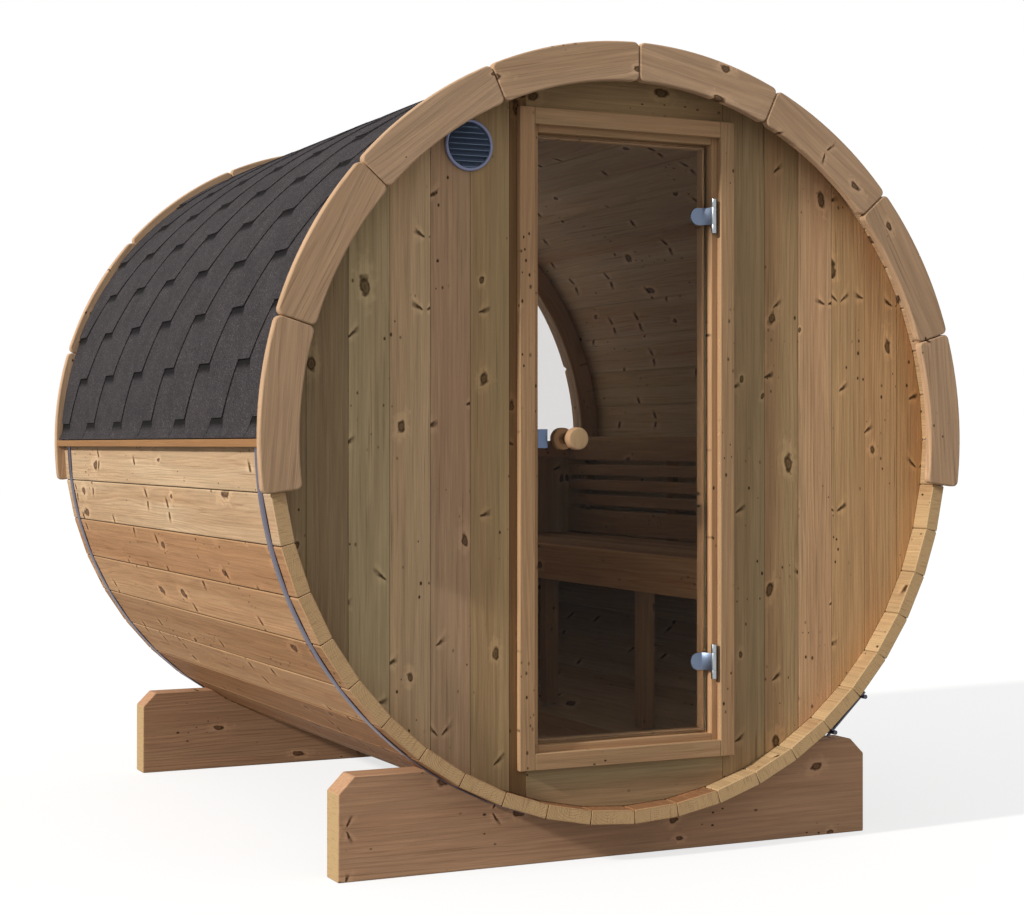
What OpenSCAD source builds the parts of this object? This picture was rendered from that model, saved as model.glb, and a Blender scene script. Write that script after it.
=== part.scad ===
// Barrel sauna: a round cabin of staves on two cradle beams, with a glass door in front,
// a half-round window behind, a bench inside and a shingled roof over the upper half.
// Front faces -Y, +X is to the right seen from the front, the ground is z = 0.

/* [Barrel] */
// Diameter over the staves
barrel_d = 2000; // [1700:10:2600]
// Length of the staves
barrel_len = 2126; // [1600:2:3600]
// Number of staves around the barrel
stave_count = 48; // [36:12:60]
// Thickness of a stave
stave_t = 38; // [28:1:50]
// Chamfer along the edges of a stave
stave_chamfer = 3; // [1:0.5:5]
// Height of the barrel's underside above the ground
ground_gap = 98; // [60:1:160]

/* [Cradles] */
// Length of a cradle beam across the barrel
cradle_len = 1568; // [1300:2:1900]
// Height of a cradle beam at its ends
cradle_h = 262; // [210:1:330]
// Thickness of a cradle beam
cradle_t = 82; // [50:1:110]
// Chamfer on the top corners of a cradle beam
cradle_chamfer = 43; // [20:1:70]
// Distance from the stave ends to the front beam
cradle_front_inset = 95; // [90:1:300]
// Distance from the stave ends to the rear beam
cradle_rear_inset = 117; // [90:1:300]

/* [End walls] */
// Thickness of the end walls
wall_t = 38; // [28:1:60]
// Depth of an end wall behind the stave ends
wall_recess = 60; // [40:1:120]

/* [Arch trim] */
// How far the arch boards stand out past the staves
arch_overhang = 27; // [20:1:60]
// Radial width of an arch board
arch_w = 101; // [80:1:130]
// Thickness of an arch board
arch_t = 26; // [18:1:40]
// Number of boards in an arch
arch_boards = 8; // [4:2:12]
// Angle that an arch reaches below the axis on each side
arch_drop = 7.5; // [0:0.5:15]
// Corner radius of an arch board
arch_corner = 15; // [4:1:20]
// Open joint between two arch boards
arch_joint = 2; // [1:0.5:4]

/* [Roof] */
// Thickness of the roof covering
roof_t = 10; // [6:1:12]
// Thickness of an eave batten
batten_t = 23; // [15:1:25]
// Height of an eave batten
batten_h = 20; // [15:1:40]

/* [Bands] */
// Width of a steel band
band_w = 36; // [20:1:50]
// Thickness of a steel band
band_t = 1.5; // [1:0.5:3]
// Distance from the stave ends to the middle of a band
band_inset = 74; // [60:1:75]
// Angle of the tensioner below the axis, on the right side
tensioner_angle = 47; // [30:1:60]
// Angle between the two tensioner pins
tensioner_spread = 7.5; // [5:0.5:12]
// Distance of the tensioner pins from the staves
tensioner_reach = 45; // [30:1:60]
// Diameter of a tensioner pin
tensioner_pin_d = 12; // [8:1:16]
// Diameter of the threaded rod
tensioner_rod_d = 8; // [6:1:10]

/* [Door] */
// Width of the glass
glass_w = 504; // [420:1:640]
// Height of the glass
glass_h = 1563; // [1300:1:1700]
// Thickness of the glass
glass_t = 8; // [6:1:12]
// Height of the bottom edge of the glass above the ground
glass_z = 318; // [300:1:360]
// Distance of the door's middle to the right of the barrel's middle
door_offset = 8; // [0:1:40]
// Gap between the glass and the frame on every side
door_gap = 7; // [6:0.5:12]
// Distance from the frame's front face to the glass
glass_setback = 19; // [15:1:30]
// Gap between the glass and the stop behind it
stop_gap = 5; // [5:0.5:10]
// Thickness of a frame board
frame_t = 35; // [25:1:50]
// Width of a stop inside the frame board
stop_w = 10; // [8:1:40]
// Thickness of a stop
stop_t = 30; // [15:1:40]
// Width of a casing board
casing_w = 43; // [35:1:80]
// Thickness of a casing board
casing_t = 20; // [12:1:28]
// Width of the frame left bare inside the casing
casing_reveal = 17.5; // [16:0.5:24]

/* [Door fittings] */
// Diameter of a hinge knuckle
knuckle_d = 15; // [12:1:16]
// Diameter of a hinge pin
hinge_pin_d = 8; // [6:1:10]
// Width of a hinge leaf on the frame
leaf_w = 14; // [10:1:15]
// Height of the moving knuckle and the glass clamp
clamp_h = 46; // [36:1:60]
// Thickness of a hinge leaf
leaf_t = 2.5; // [2:0.5:4]
// Height of each fixed knuckle
fixed_knuckle_h = 22.5; // [15:0.5:30]
// Width of a glass clamp
clamp_w = 42; // [36:1:60]
// Thickness of a glass clamp
clamp_t = 6; // [4:1:8]
// Distance of the hinges from the door's middle height
hinge_spread = 596; // [400:1:640]
// Diameter of a knob
knob_d = 58; // [40:1:70]
// Length of a knob
knob_len = 53; // [35:1:60]
// Distance of the knobs from the free edge of the glass
knob_inset = 94; // [60:1:140]
// Width of the latch plate
latch_w = 28; // [20:1:40]
// Height of the latch plate
latch_h = 49; // [30:1:80]
// Thickness of the latch plate
latch_t = 4; // [2:1:6]

/* [Vent] */
// Outer diameter of the vent
vent_d = 132; // [110:1:160]
// Distance of the vent to the left of the barrel's middle
vent_x = 448; // [430:1:500]
// Height of the vent above the barrel's axis
vent_z = 743; // [650:1:760]
// Number of louvres
vent_louvres = 8; // [5:1:9]
// Width of the vent's rim
vent_rim = 8; // [6:1:14]
// How far the vent stands out from the wall
vent_depth = 9; // [6:1:14]

/* [Rear window] */
// Radial width of the window frame
window_frame_w = 68; // [40:1:90]
// Depth of the window frame
window_frame_depth = 50; // [38:1:70]
// Height of the window's sill rail
sill_h = 60; // [40:1:90]
// Thickness of the window pane
pane_t = 8; // [6:1:20]

/* [Bench and floor] */
// Height of the seat above the ground
seat_z = 762; // [700:1:860]
// Distance of the bench's front edge from the barrel's middle
bench_x = 354; // [330:1:420]
// Height of the fascia board
fascia_h = 112; // [80:1:140]
// Thickness of the bench boards
bench_board_t = 28; // [20:1:32]
// Number of seat boards
seat_boards = 4; // [3:1:6]
// Side of a bench leg
leg_w = 45; // [35:1:60]
// Distance between two legs
leg_pitch = 636; // [450:1:700]
// Distance of the backrest from the barrel's middle
backrest_x = 835; // [820:1:840]
// Height of the backrest's top above the ground
backrest_top = 1112; // [1060:1:1150]
// Thickness of a backrest board
backrest_t = 22; // [16:1:24]
// Height of the wide boards at the top and the bottom of the backrest
backrest_wide = 84; // [60:1:100]
// Height of a backrest slat
backrest_slat = 38; // [25:1:45]
// Number of backrest slats
backrest_slats = 3; // [2:1:4]
// Height of the floor above the ground
floor_z = 225; // [220:1:235]
// Thickness of a floor board
floor_t = 22; // [18:1:25]
// Number of floor boards
floor_boards = 6; // [4:1:8]
// Gap between the floor's edges and the staves
floor_side_gap = 15; // [5:1:60]

/* [Hidden] */
fit = 0.3;              // clearance where one piece seats on another
stave_joint = 0.5;      // gap between neighbouring staves
running = 0.075;        // radial clearance of a hinge pin
slat_gap = 12;          // gap between seat boards
vent_seat = 16;         // how much smaller the hole's radius is than the vent's
clamp_edge = 14.5;      // distance from a hinge's axis to the glass clamp
washer_r = 9;           // radius and thickness of the washer behind the glass
washer_t = 4;
bearer_h = 45;          // height of a bearer under the seat
post_t = 22;            // thickness of a post behind the backrest
joist_w = 45;           // width of a floor joist
joist_count = 4;
joist_reach = 0.84;     // length of a joist as a part of the floor's width
lug_t = 4;              // thickness of a band's folded end
floor_gap = 8;          // gap between floor boards
end_gap = 4;            // gap between a bench or floor board's end and the end wall

stave_angle = 360 / stave_count;
group_size = stave_count / 12;
outer_r = barrel_d / 2;
outer_apothem = outer_r * cos(stave_angle / 2);
inner_apothem = outer_apothem - stave_t;
inner_r = inner_apothem / cos(stave_angle / 2);
axis_z = outer_r + ground_gap;
stave_y = barrel_len / 2;
half_depth = stave_y + fit + arch_t;

wall_front = -stave_y + wall_recess;          // front face of the front wall
wall_back = wall_front + wall_t;
rear_wall_front = stave_y - wall_recess - wall_t;
rear_wall_back = rear_wall_front + wall_t;
room_front = wall_back + end_gap;
room_back = rear_wall_front - end_gap;
backrest_back = rear_wall_back - window_frame_depth - end_gap;

glass_x0 = door_offset - glass_w / 2;
glass_x1 = door_offset + glass_w / 2;
glass_z1 = glass_z + glass_h;
glass_mid_z = glass_z + glass_h / 2;
glass_front = wall_front + glass_setback;
glass_back = glass_front + glass_t;
jamb_x0 = glass_x0 - door_gap;
jamb_x1 = glass_x1 + door_gap;
jamb_z0 = glass_z - door_gap;
jamb_z1 = glass_z1 + door_gap;
open_x0 = jamb_x0 - frame_t;
open_x1 = jamb_x1 + frame_t;
open_z0 = jamb_z0 - frame_t;
open_z1 = jamb_z1 + frame_t;
stop_front = glass_back + stop_gap;

casing_x0 = jamb_x0 - casing_reveal - casing_w;
casing_x1 = jamb_x1 + casing_reveal + casing_w;
casing_z0 = jamb_z0 - casing_reveal - casing_w;
casing_z1 = jamb_z1 + casing_reveal + casing_w;

hinge_x = jamb_x1 + 1;
hinge_y = wall_front - 2 * fit - leaf_t - knuckle_d / 2;
hinge_zs = [glass_mid_z - hinge_spread, glass_mid_z + hinge_spread];

band_r = norm([outer_apothem, outer_apothem * tan(stave_angle / 2) - stave_chamfer]) + fit;
roof_r = band_r + band_t + fit;
pin_r = outer_r + tensioner_reach;

bearer_top = seat_z - bench_board_t - fit;
leg_x = bench_x + bench_board_t + fit;
leg_foot = axis_z - sqrt(pow(inner_apothem, 2) - pow(leg_x + leg_w, 2)) + fit;
leg_ys = [room_front + leg_pitch / 8, for (i = [2:-1:0]) room_back - leg_pitch / 8 - i * leg_pitch];

floor_w = 2 * (sqrt(pow(inner_apothem, 2) - pow(axis_z - floor_z + floor_t, 2)) - floor_side_gap);

stave_names = ["staves_12_oclock", "staves_1_oclock", "staves_2_oclock", "staves_3_oclock",
    "staves_4_oclock", "staves_5_oclock", "staves_6_oclock", "staves_7_oclock",
    "staves_8_oclock", "staves_9_oclock", "staves_10_oclock", "staves_11_oclock"];

// Points of an arc from angle a0 to a1 around centre c
function arc(c, r, a0, a1, n) = [for (i = [0:n]) let (a = a0 + (a1 - a0) * i / n)
    c + r * [cos(a), sin(a)]];

// Outline of the barrel's round, a polygon with its flats at the given distance from the axis
function barrel_outline(apothem) = arc([0, 0], apothem / cos(stave_angle / 2), 0, 360 - stave_angle,
    stave_count - 1);

// A shape drawn around the barrel's axis, in X and Z, and carried from y0 to y1
module along_y(y0, y1) {
    translate([0, y1, axis_z]) rotate([90, 0, 0]) linear_extrude(y1 - y0) children();
}

// A board between two corners
module board(low, high) {
    translate(low) cube(high - low);
}

// Four boards around a rectangle in X and Z, with a board width of w
module surround(x0, x1, z0, z1, w, y0, y1) {
    board([x0, y0, z0], [x0 + w, y1, z1]);
    board([x1 - w, y0, z0], [x1, y1, z1]);
    board([x0 + w + fit, y0, z1 - w], [x1 - w - fit, y1, z1]);
    board([x0 + w + fit, y0, z0], [x1 - w - fit, y1, z0 + w]);
}

// Half a stave's width at a distance r from the axis
function half_width(r) = r * tan(stave_angle / 2) - stave_joint / 2;

module stave(angle) {
    c = stave_chamfer;
    edge = [[outer_apothem, half_width(outer_apothem) - c],
        [outer_apothem - c, half_width(outer_apothem - c)],
        [inner_apothem + c, half_width(inner_apothem + c)],
        [inner_apothem, half_width(inner_apothem) - c]];
    along_y(-stave_y, stave_y) rotate(angle)
        polygon([for (p = edge) p, for (i = [3:-1:0]) [edge[i][0], -edge[i][1]]]);
}

// The staves around one hour of the clock, as seen from the front
module stave_group(hour) {
    color("burlywood") for (i = [0:group_size - 1])
        stave(90 - 30 * hour + (i - (group_size - 1) / 2) * stave_angle);
}

module cradle(y0) {
    w = cradle_len / 2;
    c = cradle_chamfer;
    color("tan") difference() {
        along_y(y0, y0 + cradle_t) translate([0, -axis_z]) polygon([[-w, 0], [w, 0], [w, cradle_h - c],
            [w - c, cradle_h], [c - w, cradle_h], [-w, cradle_h - c]]);
        along_y(y0 - 1, y0 + cradle_t + 1) polygon(barrel_outline(outer_apothem + fit));
    }
}

module cradle_front() { cradle(-stave_y + cradle_front_inset); }
module cradle_rear() { cradle(stave_y - cradle_rear_inset - cradle_t); }

// The part of an end wall between two corners given in X and height above the ground
module wall_part(y0, x0, x1, z0, z1) {
    along_y(y0, y0 + wall_t) intersection() {
        polygon(barrel_outline(inner_apothem - fit));
        translate([x0, z0 - axis_z]) square([x1 - x0, z1 - z0]);
    }
}

module vent_hole() {
    translate([-vent_x, wall_back + 1, axis_z + vent_z]) rotate([90, 0, 0])
        cylinder(h = wall_t + 2, d = vent_d - 2 * vent_seat);
}

module front_wall_left() {
    color("peru") difference() {
        wall_part(wall_front, -outer_r, open_x0 - fit, 0, 2 * outer_r + ground_gap);
        vent_hole();
    }
}
module front_wall_right() {
    color("peru") wall_part(wall_front, open_x1 + fit, outer_r, 0, 2 * outer_r + ground_gap);
}
module front_wall_header() {
    color("peru") wall_part(wall_front, open_x0, open_x1, open_z1 + fit, 2 * outer_r + ground_gap);
}
module front_wall_threshold() {
    color("peru") wall_part(wall_front, open_x0, open_x1, 0, open_z0 - fit);
}

module rear_wall_lower() {
    color("peru") wall_part(rear_wall_front, -outer_r, outer_r, 0, axis_z - sill_h - fit);
}
module rear_window_sill() {
    color("tan") along_y(rear_wall_back - window_frame_depth, rear_wall_back) intersection() {
        polygon(barrel_outline(inner_apothem - fit));
        translate([-outer_r, -sill_h]) square([2 * outer_r, sill_h]);
    }
}
module rear_window_frame() {
    color("tan") along_y(rear_wall_back - window_frame_depth, rear_wall_back) difference() {
        intersection() {
            polygon(barrel_outline(inner_apothem - fit));
            translate([-outer_r, fit]) square([2 * outer_r, outer_r]);
        }
        circle(r = inner_apothem - window_frame_w);
    }
}
module rear_window_glass() {
    pane_y = rear_wall_back - (window_frame_depth + pane_t) / 2;
    color("lightblue") along_y(pane_y, pane_y + pane_t) intersection() {
        circle(r = inner_apothem - window_frame_w - fit);
        translate([-outer_r, fit]) square([2 * outer_r, outer_r]);
    }
}

// One arch board with rounded corners, between the angles a0 and a1
function arch_board(a0, a1) = let (
        ro = outer_r + arch_overhang, ri = ro - arch_w, c = arch_corner, off = c + arch_joint / 2,
        so = asin(off / (ro - c)), si = asin(off / (ri + c)),
        at = function (r, a) r * [cos(a), sin(a)])
    concat(
        arc(at(ro - c, a0 + so), c, a0 - 90, a0 + so, 4),
        arc([0, 0], ro, a0 + so + 1, a1 - so - 1, 12),
        arc(at(ro - c, a1 - so), c, a1 - so, a1 + 90, 4),
        arc(at(ri + c, a1 - si), c, a1 + 90, a1 - si + 180, 4),
        arc([0, 0], ri, a1 - si - 1, a0 + si + 1, 12),
        arc(at(ri + c, a0 + si), c, a0 + si + 180, a0 + 270, 4));

// The arch boards first to last, counted from the right-hand end
module arch(y0, first, last) {
    pitch = (180 + 2 * arch_drop) / arch_boards;
    color("tan") for (i = [first:last]) along_y(y0, y0 + arch_t)
        polygon(arch_board(-arch_drop + i * pitch, -arch_drop + (i + 1) * pitch));
}
module front_arch_right() { arch(-half_depth, 0, arch_boards / 2 - 1); }
module front_arch_left() { arch(-half_depth, arch_boards / 2, arch_boards - 1); }
module rear_arch_right() { arch(stave_y + fit, 0, arch_boards / 2 - 1); }
module rear_arch_left() { arch(stave_y + fit, arch_boards / 2, arch_boards - 1); }

// A quarter of the roof's round, from angle a0
module roof_quarter(side) {
    color("dimgray") along_y(-stave_y, stave_y) intersection() {
        difference() {
            circle(r = roof_r + roof_t);
            circle(r = roof_r);
        }
        translate([side > 0 ? fit : -2 * outer_r, fit]) square([2 * outer_r - fit, 2 * outer_r]);
    }
}
module roof_right() { roof_quarter(1); }
module roof_left() { roof_quarter(-1); }

module eave_battens() {
    color("peru") for (side = [-1, 1]) scale([side, 1, 1])
        board([roof_r, -stave_y, axis_z - batten_h], [roof_r + batten_t, stave_y, axis_z]);
}

module band(y) {
    color("slategray") along_y(y - band_w / 2, y + band_w / 2) difference() {
        circle(r = band_r + band_t);
        circle(r = band_r);
    }
}
module band_front() { band(-stave_y + band_inset); }
module band_rear() { band(stave_y - band_inset); }

// Two folded band ends with their cross pins and the threaded rod that pulls them together
module tensioner(y) {
    rod_len = 2 * pin_r * sin(tensioner_spread / 2) + 4 * tensioner_rod_d;
    foot = band_r + band_t + fit;
    pin_len = band_w + 8;
    translate([0, y, axis_z]) rotate([0, tensioner_angle, 0]) {
        for (side = [-1, 1]) rotate([0, side * tensioner_spread / 2, 0]) {
            translate([foot, -band_w / 2, -lug_t / 2]) cube([pin_r - foot, band_w, lug_t]);
            translate([pin_r, 0, 0]) rotate([90, 0, 0])
                cylinder(h = pin_len, d = tensioner_pin_d, center = true);
        }
        translate([pin_r * cos(tensioner_spread / 2), 0, 0])
            cylinder(h = rod_len, d = tensioner_rod_d, center = true);
    }
}
module band_tensioners() {
    color("dimgray") for (y = [-stave_y + band_inset, stave_y - band_inset]) tensioner(y);
}

module door_casing() {
    color("burlywood") surround(casing_x0, casing_x1, casing_z0, casing_z1, casing_w,
        wall_front - fit - casing_t, wall_front - fit);
}
module door_frame() {
    color("burlywood") surround(open_x0, open_x1, open_z0, open_z1, frame_t, wall_front, stop_front - fit);
}
module door_stops() {
    color("burlywood") surround(open_x0, open_x1, open_z0, open_z1, frame_t + stop_w,
        stop_front, stop_front + stop_t);
}

// A knuckle around a hinge's axis, from z0 to z1
module knuckle(z0, z1) {
    translate([hinge_x, hinge_y, z0]) cylinder(h = z1 - z0, d = knuckle_d);
}

// The two fixed knuckles, the leaf on the frame and the pin of each hinge
module hinge_leaves() {
    inner = clamp_h / 2 + fit;
    outer = inner + fixed_knuckle_h;
    color("silver") for (z = hinge_zs) union() {
        for (side = [-1, 1]) {
            z0 = side > 0 ? z + inner : z - outer;
            knuckle(z0, z0 + fixed_knuckle_h);
            board([hinge_x - 2, hinge_y, z0], [hinge_x + 3, wall_front - leaf_t, z0 + fixed_knuckle_h]);
        }
        board([hinge_x - 1, wall_front - fit - leaf_t, z - outer],
            [hinge_x + leaf_w, wall_front - fit, z + outer]);
        translate([hinge_x, hinge_y, z - outer]) cylinder(h = 2 * outer, d = hinge_pin_d);
    }
}

// The moving knuckle, its arm, the clamp on the glass and the washer behind the glass
module hinge_clamps() {
    near = hinge_x - clamp_edge;
    far = near - clamp_w;
    r = clamp_h / 2;
    knuckle_r = knuckle_d / 2;
    clamp_y = glass_front - hinge_y - clamp_t + 1;
    // From the knuckle's side down to the clamp's near end, in X and Y from the hinge's axis
    arm = [[0.1 - knuckle_r, -1], [2 - knuckle_r, 5], [-clamp_edge + 0.5, clamp_y],
        [-clamp_edge - 9.5, clamp_y + clamp_t - 2], [-clamp_edge - 9.5, clamp_y]];
    color("silver") for (z = hinge_zs) {
        difference() {
            union() {
                knuckle(z - r, z + r);
                translate([hinge_x, hinge_y, z - r]) linear_extrude(clamp_h) polygon(arm);
                translate([0, glass_front, z]) rotate([90, 0, 0]) linear_extrude(clamp_t) union() {
                    translate([far + r, 0]) circle(r = r);
                    translate([far + r, -r]) square([near - far - r, clamp_h]);
                }
            }
            translate([hinge_x, hinge_y, z - r - 1])
                cylinder(h = clamp_h + 2, d = hinge_pin_d + 2 * running);
        }
        translate([far + r + 3, glass_back + washer_t, z]) rotate([90, 0, 0])
            cylinder(h = washer_t, r = washer_r);
    }
}

module vent_front() {
    slat = 5;
    r = vent_d / 2;
    pitch = (vent_d - 2 * vent_rim) / vent_louvres;
    color("slategray") translate([-vent_x, wall_front - fit, axis_z + vent_z]) rotate([90, 0, 0]) {
        linear_extrude(vent_depth) difference() {
            circle(r = r);
            circle(r = r - vent_rim);
        }
        linear_extrude(vent_depth - 3) intersection() {
            circle(r = r - 1);
            for (i = [0:vent_louvres - 1])
                translate([-r, (i + 0.5) * pitch - r + vent_rim - slat / 2]) square([vent_d, slat]);
        }
    }
}

module floor_joists() {
    len = joist_reach * floor_w;
    span = room_back - room_front - joist_w;
    top = floor_z - floor_t - fit;
    color("tan") for (i = [0:joist_count - 1]) {
        y = room_front + i * span / (joist_count - 1);
        along_y(y, y + joist_w) intersection() {
            polygon(barrel_outline(inner_apothem - fit));
            translate([-len / 2, -axis_z]) square([len, top]);
        }
    }
}
module floor_boards() {
    w = (floor_w + floor_gap) / floor_boards - floor_gap;
    color("peru") for (i = [0:floor_boards - 1]) {
        x = -floor_w / 2 + i * (w + floor_gap);
        board([x, room_front, floor_z - floor_t], [x + w, room_back, floor_z]);
    }
}

module bench_legs() {
    color("tan") for (y = leg_ys)
        board([leg_x, y - leg_w / 2, leg_foot], [leg_x + leg_w, y + leg_w / 2, bearer_top - bearer_h - fit]);
}
module bench_bearers() {
    end_x = sqrt(pow(inner_apothem, 2) - pow(axis_z - bearer_top + bearer_h, 2)) - fit;
    color("tan") for (y = leg_ys)
        board([leg_x, y - leg_w / 2, bearer_top - bearer_h], [end_x, y + leg_w / 2, bearer_top]);
}
module bench_seat() {
    x0 = bench_x + bench_board_t + fit;
    w = (backrest_x - x0 + slat_gap - 2) / seat_boards - slat_gap;
    color("burlywood") for (i = [0:seat_boards - 1]) {
        x = x0 + i * (w + slat_gap);
        board([x, room_front, seat_z - bench_board_t], [x + w, room_back, seat_z]);
    }
}
module bench_fascia() {
    color("burlywood")
        board([bench_x, room_front, seat_z - fascia_h], [bench_x + bench_board_t, room_back, seat_z]);
}

// A wide board at the bottom and at the top, with narrow slats evenly between them
module bench_backrest() {
    low = seat_z + end_gap;
    slats_low = low + backrest_wide;
    slats_high = backrest_top - backrest_wide;
    gap = (slats_high - slats_low - backrest_slats * backrest_slat) / (backrest_slats + 1);
    rows = concat([[low, backrest_wide]],
        [for (i = [0:backrest_slats - 1]) [slats_low + gap + i * (backrest_slat + gap), backrest_slat]],
        [[slats_high, backrest_wide]]);
    color("burlywood") for (row = rows)
        board([backrest_x, room_front, row[0]], [backrest_x + backrest_t, backrest_back, row[0] + row[1]]);
}
module backrest_posts() {
    x = backrest_x + backrest_t + fit;
    color("tan") for (y = leg_ys)
        board([x, y - leg_w / 2, bearer_top + fit], [x + post_t, y + leg_w / 2, backrest_top - 6]);
}

module door_glass() {
    color("dimgray") board([glass_x0, glass_front, glass_z], [glass_x1, glass_back, glass_z1]);
}

// A turned knob that stands on the plane z = 0: a flared foot, a neck and a head with round rims
module knob() {
    r = knob_d / 2;
    neck = 13;
    foot = 17;
    foot_h = 8;
    rim = 5;
    head = 26;
    rotate_extrude() polygon(concat([[0, 0], [foot, 0], [neck, foot_h]],
        arc([r - rim, knob_len - head + rim], rim, -90, 0, 4),
        arc([r - rim, knob_len - rim], rim, 0, 90, 4), [[0, knob_len]]));
}
module door_knobs() {
    x = glass_x0 + knob_inset;
    color("burlywood") {
        translate([x, glass_front, glass_mid_z]) rotate([90, 0, 0]) knob();
        translate([x, glass_back, glass_mid_z]) rotate([-90, 0, 0]) knob();
    }
}
module latch_plate() {
    color("steelblue") board([glass_x0, glass_front - latch_t, glass_mid_z - latch_h / 2],
        [glass_x0 + latch_w, glass_front, glass_mid_z + latch_h / 2]);
}

for (hour = [0:11]) stave_group(hour);
cradle_front();
cradle_rear();
front_wall_left();
front_wall_right();
front_wall_header();
front_wall_threshold();
rear_wall_lower();
rear_window_frame();
rear_window_sill();
rear_window_glass();
front_arch_left();
front_arch_right();
rear_arch_left();
rear_arch_right();
roof_left();
roof_right();
eave_battens();
band_front();
band_rear();
band_tensioners();
door_casing();
door_frame();
door_stops();
hinge_leaves();
vent_front();
floor_joists();
floor_boards();
bench_legs();
bench_bearers();
bench_seat();
bench_fascia();
bench_backrest();
backrest_posts();
door_glass();
door_knobs();
hinge_clamps();
latch_plate();
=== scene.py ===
import math
import random

import bmesh
import bpy
from mathutils import Matrix, Vector


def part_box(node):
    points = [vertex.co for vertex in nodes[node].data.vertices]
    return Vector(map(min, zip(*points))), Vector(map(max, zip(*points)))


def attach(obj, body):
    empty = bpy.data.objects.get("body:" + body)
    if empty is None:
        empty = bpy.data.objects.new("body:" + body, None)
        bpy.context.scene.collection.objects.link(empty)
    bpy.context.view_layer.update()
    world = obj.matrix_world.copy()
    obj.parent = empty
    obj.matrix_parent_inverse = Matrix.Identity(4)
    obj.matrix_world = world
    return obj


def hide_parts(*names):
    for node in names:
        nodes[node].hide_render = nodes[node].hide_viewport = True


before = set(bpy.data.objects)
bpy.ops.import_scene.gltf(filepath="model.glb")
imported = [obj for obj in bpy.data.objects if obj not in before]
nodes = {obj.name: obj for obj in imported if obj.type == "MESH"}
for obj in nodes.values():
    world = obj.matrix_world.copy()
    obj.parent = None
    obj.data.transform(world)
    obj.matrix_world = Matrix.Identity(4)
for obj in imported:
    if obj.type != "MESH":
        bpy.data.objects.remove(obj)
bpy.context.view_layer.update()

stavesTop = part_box("staves_12_oclock")[1].z
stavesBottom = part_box("staves_6_oclock")[0].z
axisZ = (stavesTop + stavesBottom) / 2
barrelRadius = (stavesTop - stavesBottom) / 2
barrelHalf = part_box("staves_3_oclock")[1].y
xAxis, yAxis, zAxis = Vector((1, 0, 0)), Vector((0, 1, 0)), Vector((0, 0, 1))


# Short names for shader nodes

def plug(tree, socket, value):
    # a socket is linked, anything else is written as the default
    if isinstance(value, bpy.types.NodeSocket):
        tree.links.new(value, socket)
    else:
        socket.default_value = value


def put(tree, kind, values=None, **settings):
    node = tree.nodes.new("ShaderNode" + kind)
    for key, value in settings.items():
        setattr(node, key, value)
    for key, value in (values or {}).items():
        plug(tree, node.inputs[key], value)
    return node


def calc(tree, operation, *values, clamp=False):
    node = put(tree, "Math", operation=operation, use_clamp=clamp)
    for socket, value in zip(node.inputs, values):
        plug(tree, socket, value)
    return node.outputs[0]


def times(tree, first, *others):
    for value in others:
        first = calc(tree, "MULTIPLY", first, value)
    return first


def plus(tree, first, *others):
    for value in others:
        first = calc(tree, "ADD", first, value)
    return first


def minus(tree, a, b):
    return calc(tree, "SUBTRACT", a, b)


def fit(tree, value, gain, base):
    return calc(tree, "MULTIPLY_ADD", value, gain, base)


def vectorCalc(tree, operation, *values):
    node = put(tree, "VectorMath", operation=operation)
    for socket, value in zip(node.inputs, values):
        plug(tree, socket, value)
    return node.outputs["Vector"]


def scaled(tree, vector, x, y, z):
    return vectorCalc(tree, "MULTIPLY", vector, (x, y, z))


def brighten(tree, tone, gain):
    return put(tree, "VectorMath", {"Vector": tone, "Scale": gain}, operation="SCALE").outputs["Vector"]


def split(tree, vector):
    return put(tree, "SeparateXYZ", {"Vector": vector}).outputs


def chances(tree, tint):
    # three even draws from 0 to 1, read from a random colour
    return put(tree, "SeparateColor", {"Color": tint}).outputs


def carried(tree, name):
    return put(tree, "Attribute", attribute_name=name).outputs["Vector"]


def spread(tree, value, low, high, toLow=0.0, toHigh=1.0):
    # a soft step: value from low to high becomes toLow to toHigh
    values = {"Value": value, "From Min": low, "From Max": high, "To Min": toLow, "To Max": toHigh}
    return put(tree, "MapRange", values, interpolation_type="SMOOTHSTEP").outputs["Result"]


def fade(tree, value, low, high):
    return spread(tree, value, low, high, 1.0, 0.0)


def blend(tree, share, a, b):
    node = put(tree, "Mix", data_type="RGBA")
    plug(tree, node.inputs[0], share)
    plug(tree, node.inputs[6], a)
    plug(tree, node.inputs[7], b)
    return node.outputs[2]


def noise(tree, vector, detail=2.0, rough=0.5, scale=1.0, output="Fac"):
    values = {"Vector": vector, "Scale": scale, "Detail": detail, "Roughness": rough}
    return put(tree, "TexNoise", values).outputs[output]


def newGroup(name, inputs):
    # a shared group of nodes that gives a colour, a roughness and a relief
    tree = bpy.data.node_groups.new(name, "ShaderNodeTree")
    for label, kind, value in inputs:
        socket = tree.interface.new_socket(name=label, in_out="INPUT", socket_type="NodeSocket" + kind)
        socket.default_value = value
    for label, kind in (("Color", "Color"), ("Roughness", "Float"), ("Height", "Float")):
        tree.interface.new_socket(name=label, in_out="OUTPUT", socket_type="NodeSocket" + kind)
    return tree, tree.nodes.new("NodeGroupInput").outputs, tree.nodes.new("NodeGroupOutput").inputs


def color(*levels):
    # a colour as it looks on screen, 0 to 255, turned to the linear values that Blender wants
    linear = [((c / 255 + 0.055) / 1.055) ** 2.4 if c > 10 else c / 3294.6 for c in levels]
    return (*linear, 1.0)


# Solid wood

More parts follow.
